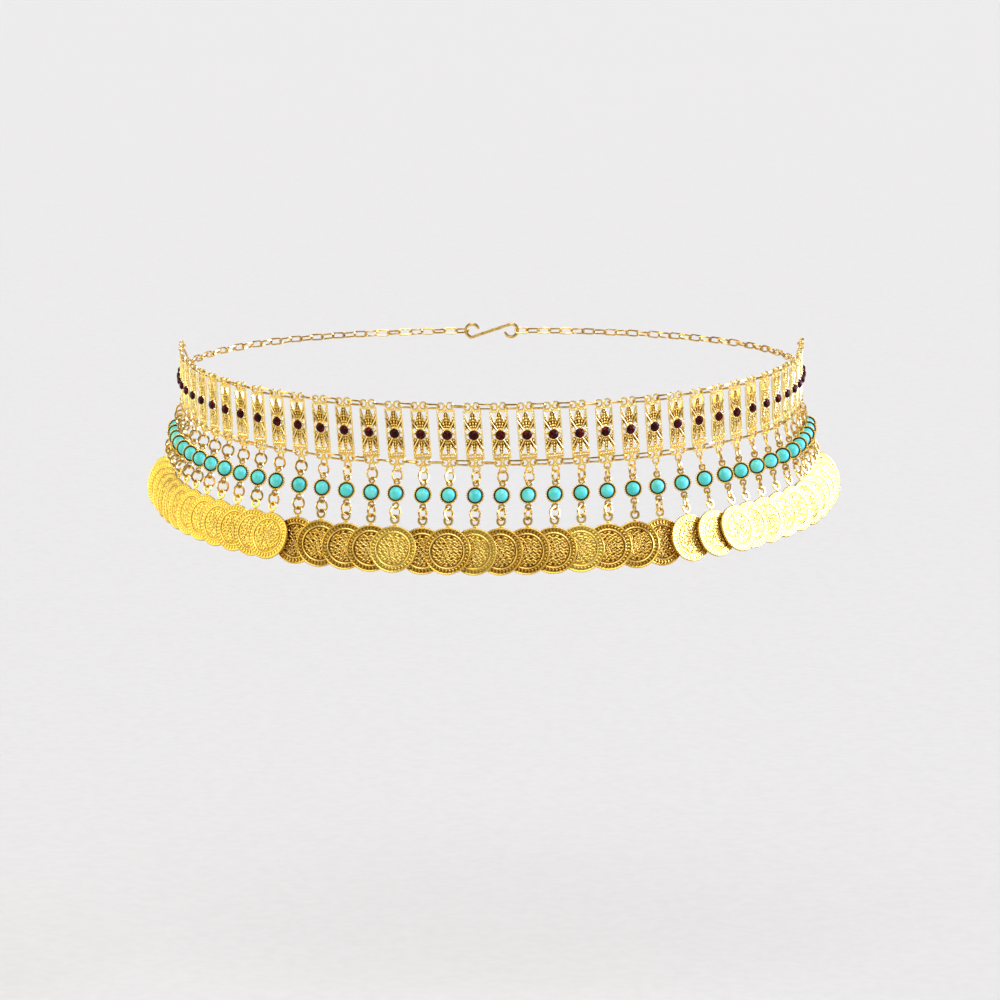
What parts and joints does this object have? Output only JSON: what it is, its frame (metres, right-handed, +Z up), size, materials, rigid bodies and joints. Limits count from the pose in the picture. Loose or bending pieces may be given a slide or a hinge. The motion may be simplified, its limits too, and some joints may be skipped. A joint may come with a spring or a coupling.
{
  "type": "coin belt",
  "caption": "Gilt coin belt worn round the waist: openwork plates on wire links, each with a turquoise and coin pendant, and a chain with a hook behind.",
  "frame": {"origin": "middle of the waist that the belt goes round, halfway up the plates", "axes": "+X to the right seen from the front, +Z up; the row of plates is at the front, at -Y"},
  "size_m": [0.3076, 0.2397, 0.085],
  "materials": {
    "gold": "cast brass, gilt and polished",
    "wire": "drawn wire, gilt",
    "turquoise": "moulded cabochon, polished",
    "garnet": "faceted glass stone, dark red"
  },
  "bodies": {
    "root": {"plates_01": "gold", "plates_02": "gold", "plates_03": "gold", "plates_04": "gold", "plates_05": "gold", "plates_06": "gold", "plates_07": "gold", "plates_08": "gold", "plates_09": "gold", "plates_10": "gold", "bail_left": "wire", "bail_right": "wire", "chain_left": "wire", "chain_right": "wire", "hook": "wire"},
    "pendant_01": {"pendant_01": "gold"},
    "pendant_02": {"pendant_02": "gold"},
    "pendant_03": {"pendant_03": "gold"},
    "pendant_04": {"pendant_04": "gold"},
    "pendant_05": {"pendant_05": "gold"},
    "pendant_06": {"pendant_06": "gold"},
    "pendant_07": {"pendant_07": "gold"},
    "pendant_08": {"pendant_08": "gold"},
    "pendant_09": {"pendant_09": "gold"},
    "pendant_10": {"pendant_10": "gold"},
    "pendant_11": {"pendant_11": "gold"},
    "pendant_12": {"pendant_12": "gold"},
    "pendant_13": {"pendant_13": "gold"},
    "pendant_14": {"pendant_14": "gold"},
    "pendant_15": {"pendant_15": "gold"},
    "pendant_16": {"pendant_16": "gold"},
    "pendant_17": {"pendant_17": "gold"},
    "pendant_18": {"pendant_18": "gold"},
    "pendant_19": {"pendant_19": "gold"},
    "pendant_20": {"pendant_20": "gold"},
    "pendant_21": {"pendant_21": "gold"},
    "pendant_22": {"pendant_22": "gold"},
    "pendant_23": {"pendant_23": "gold"},
    "pendant_24": {"pendant_24": "gold"},
    "pendant_25": {"pendant_25": "gold"},
    "pendant_26": {"pendant_26": "gold"},
    "pendant_27": {"pendant_27": "gold"},
    "pendant_28": {"pendant_28": "gold"},
    "pendant_29": {"pendant_29": "gold"},
    "pendant_30": {"pendant_30": "gold"},
    "pendant_31": {"pendant_31": "gold"},
    "pendant_32": {"pendant_32": "gold"},
    "pendant_33": {"pendant_33": "gold"},
    "pendant_34": {"pendant_34": "gold"},
    "pendant_35": {"pendant_35": "gold"},
    "pendant_36": {"pendant_36": "gold"},
    "pendant_37": {"pendant_37": "gold"},
    "pendant_38": {"pendant_38": "gold"},
    "pendant_39": {"pendant_39": "gold"},
    "pendant_40": {"pendant_40": "gold"}
  },
  "joints": [
    {"name": "sway_01", "type": "hinge", "parent": "root", "child": "pendant_01", "pos_m": [-0.13652, -0.00067, -0.01563], "axis": [-0.7784, -0.5273, 0.3408], "range_deg": [-6, 6]},
    {"name": "sway_02", "type": "hinge", "parent": "root", "child": "pendant_02", "pos_m": [-0.13617, -0.01163, -0.0165], "axis": [-0.7551, -0.5716, 0.3211], "range_deg": [-6, 6]},
    {"name": "sway_03", "type": "hinge", "parent": "root", "child": "pendant_03", "pos_m": [-0.13514, -0.02255, -0.01738], "axis": [-0.8089, -0.5235, 0.2677], "range_deg": [-6, 6]},
    {"name": "sway_04", "type": "hinge", "parent": "root", "child": "pendant_04", "pos_m": [-0.13334, -0.03336, -0.01828], "axis": [-0.8545, -0.4567, 0.2475], "range_deg": [-6, 6]},
    {"name": "sway_05", "type": "hinge", "parent": "root", "child": "pendant_05", "pos_m": [-0.1307, -0.044, -0.01918], "axis": [-0.8519, -0.4695, 0.2322], "range_deg": [-6, 6]},
    {"name": "sway_06", "type": "hinge", "parent": "root", "child": "pendant_06", "pos_m": [-0.1272, -0.05438, -0.02009], "axis": [-0.8103, -0.5396, 0.2288], "range_deg": [-6, 6]},
    {"name": "sway_07", "type": "hinge", "parent": "root", "child": "pendant_07", "pos_m": [-0.12281, -0.06443, -0.02098], "axis": [-0.7606, -0.6089, 0.2254], "range_deg": [-6, 6]},
    {"name": "sway_08", "type": "hinge", "parent": "root", "child": "pendant_08", "pos_m": [-0.11754, -0.07404, -0.02185], "axis": [-0.686, -0.6924, 0.2237], "range_deg": [-6, 6]},
    {"name": "sway_09", "type": "hinge", "parent": "root", "child": "pendant_09", "pos_m": [-0.11141, -0.08313, -0.02269], "axis": [-0.6194, -0.7535, 0.2203], "range_deg": [-6, 6]},
    {"name": "sway_10", "type": "hinge", "parent": "root", "child": "pendant_10", "pos_m": [-0.10444, -0.0916, -0.02349], "axis": [-0.5642, -0.7989, 0.2084], "range_deg": [-6, 6]},
    {"name": "sway_11", "type": "hinge", "parent": "root", "child": "pendant_11", "pos_m": [-0.09671, -0.09938, -0.02424], "axis": [-0.5324, -0.8221, 0.2016], "range_deg": [-6, 6]},
    {"name": "sway_12", "type": "hinge", "parent": "root", "child": "pendant_12", "pos_m": [-0.08828, -0.10641, -0.02492], "axis": [-0.5354, -0.7982, 0.2761], "range_deg": [-6, 6]},
    {"name": "sway_13", "type": "hinge", "parent": "root", "child": "pendant_13", "pos_m": [-0.07923, -0.11263, -0.02552], "axis": [-0.416, -0.8935, 0.169], "range_deg": [-6, 6]},
    {"name": "sway_14", "type": "hinge", "parent": "root", "child": "pendant_14", "pos_m": [-0.06965, -0.118, -0.02605], "axis": [-0.2603, -0.9446, 0.1998], "range_deg": [-6, 6]},
    {"name": "sway_15", "type": "hinge", "parent": "root", "child": "pendant_15", "pos_m": [-0.05963, -0.12251, -0.02649], "axis": [-0.1536, -0.9674, 0.2016], "range_deg": [-6, 6]},
    {"name": "sway_16", "type": "hinge", "parent": "root", "child": "pendant_16", "pos_m": [-0.04927, -0.12617, -0.02683], "axis": [-0.1256, -0.9738, 0.1896], "range_deg": [-6, 6]},
    {"name": "sway_17", "type": "hinge", "parent": "root", "child": "pendant_17", "pos_m": [-0.03864, -0.12899, -0.02709], "axis": [-0.1926, -0.9445, 0.266], "range_deg": [-6, 6]},
    {"name": "sway_18", "type": "hinge", "parent": "root", "child": "pendant_18", "pos_m": [-0.02783, -0.13099, -0.02726], "axis": [-0.1181, -0.9779, 0.1724], "range_deg": [-6, 6]},
    {"name": "sway_19", "type": "hinge", "parent": "root", "child": "pendant_19", "pos_m": [-0.0169, -0.13224, -0.02734], "axis": [-0.1353, -0.9624, 0.2356], "range_deg": [-6, 6]},
    {"name": "sway_20", "type": "hinge", "parent": "root", "child": "pendant_20", "pos_m": [-0.00592, -0.1328, -0.02735], "axis": [-0.1781, -0.9691, 0.1707], "range_deg": [-6, 6]},
    {"name": "sway_21", "type": "hinge", "parent": "root", "child": "pendant_21", "pos_m": [0.00508, -0.13283, -0.02729], "axis": [-0.1857, -0.9651, 0.1845], "range_deg": [-6, 6]},
    {"name": "sway_22", "type": "hinge", "parent": "root", "child": "pendant_22", "pos_m": [0.01607, -0.13233, -0.02718], "axis": [-0.16, -0.9658, 0.2042], "range_deg": [-6, 6]},
    {"name": "sway_23", "type": "hinge", "parent": "root", "child": "pendant_23", "pos_m": [0.027, -0.13116, -0.027], "axis": [-0.1144, -0.9675, 0.2255], "range_deg": [-6, 6]},
    {"name": "sway_24", "type": "hinge", "parent": "root", "child": "pendant_24", "pos_m": [0.03783, -0.12923, -0.02673], "axis": [-0.0489, -0.9674, 0.2484], "range_deg": [-6, 6]},
    {"name": "sway_25", "type": "hinge", "parent": "root", "child": "pendant_25", "pos_m": [0.04848, -0.1265, -0.02637], "axis": [0.0447, -0.9647, 0.2594], "range_deg": [-6, 6]},
    {"name": "sway_26", "type": "hinge", "parent": "root", "child": "pendant_26", "pos_m": [0.05887, -0.12293, -0.02593], "axis": [0.1942, -0.9494, 0.2467], "range_deg": [-6, 6]},
    {"name": "sway_27", "type": "hinge", "parent": "root", "child": "pendant_27", "pos_m": [0.06892, -0.1185, -0.0254], "axis": [0.409, -0.894, 0.1828], "range_deg": [-6, 6]},
    {"name": "sway_28", "type": "hinge", "parent": "root", "child": "pendant_28", "pos_m": [0.07854, -0.11322, -0.02479], "axis": [0.5518, -0.7912, 0.2636], "range_deg": [-6, 6]},
    {"name": "sway_29", "type": "hinge", "parent": "root", "child": "pendant_29", "pos_m": [0.08764, -0.10708, -0.02409], "axis": [0.6143, -0.7258, 0.3096], "range_deg": [-6, 6]},
    {"name": "sway_30", "type": "hinge", "parent": "root", "child": "pendant_30", "pos_m": [0.09613, -0.10014, -0.02333], "axis": [0.6452, -0.6824, 0.3434], "range_deg": [-6, 6]},
    {"name": "sway_31", "type": "hinge", "parent": "root", "child": "pendant_31", "pos_m": [0.10393, -0.09242, -0.02251], "axis": [0.5973, -0.7511, 0.2812], "range_deg": [-6, 6]},
    {"name": "sway_32", "type": "hinge", "parent": "root", "child": "pendant_32", "pos_m": [0.11096, -0.08402, -0.02164], "axis": [0.6046, -0.7417, 0.2904], "range_deg": [-6, 6]},
    {"name": "sway_33", "type": "hinge", "parent": "root", "child": "pendant_33", "pos_m": [0.11718, -0.07499, -0.02074], "axis": [0.6381, -0.7057, 0.3079], "range_deg": [-6, 6]},
    {"name": "sway_34", "type": "hinge", "parent": "root", "child": "pendant_34", "pos_m": [0.12252, -0.06543, -0.01981], "axis": [0.6887, -0.648, 0.3253], "range_deg": [-6, 6]},
    {"name": "sway_35", "type": "hinge", "parent": "root", "child": "pendant_35", "pos_m": [0.12699, -0.05542, -0.01887], "axis": [0.742, -0.5773, 0.3409], "range_deg": [-6, 6]},
    {"name": "sway_36", "type": "hinge", "parent": "root", "child": "pendant_36", "pos_m": [0.13057, -0.04507, -0.01792], "axis": [0.6826, -0.637, 0.3581], "range_deg": [-6, 6]},
    {"name": "sway_37", "type": "hinge", "parent": "root", "child": "pendant_37", "pos_m": [0.13328, -0.03445, -0.01699], "axis": [0.6409, -0.6732, 0.3687], "range_deg": [-6, 6]},
    {"name": "sway_38", "type": "hinge", "parent": "root", "child": "pendant_38", "pos_m": [0.13516, -0.02365, -0.01606], "axis": [0.6866, -0.6203, 0.3792], "range_deg": [-6, 6]},
    {"name": "sway_39", "type": "hinge", "parent": "root", "child": "pendant_39", "pos_m": [0.13626, -0.01275, -0.01516], "axis": [0.724, -0.5692, 0.3897], "range_deg": [-6, 6]},
    {"name": "sway_40", "type": "hinge", "parent": "root", "child": "pendant_40", "pos_m": [0.13667, -0.00179, -0.01428], "axis": [0.752, -0.5239, 0.4001], "range_deg": [-6, 6]}
  ]
}
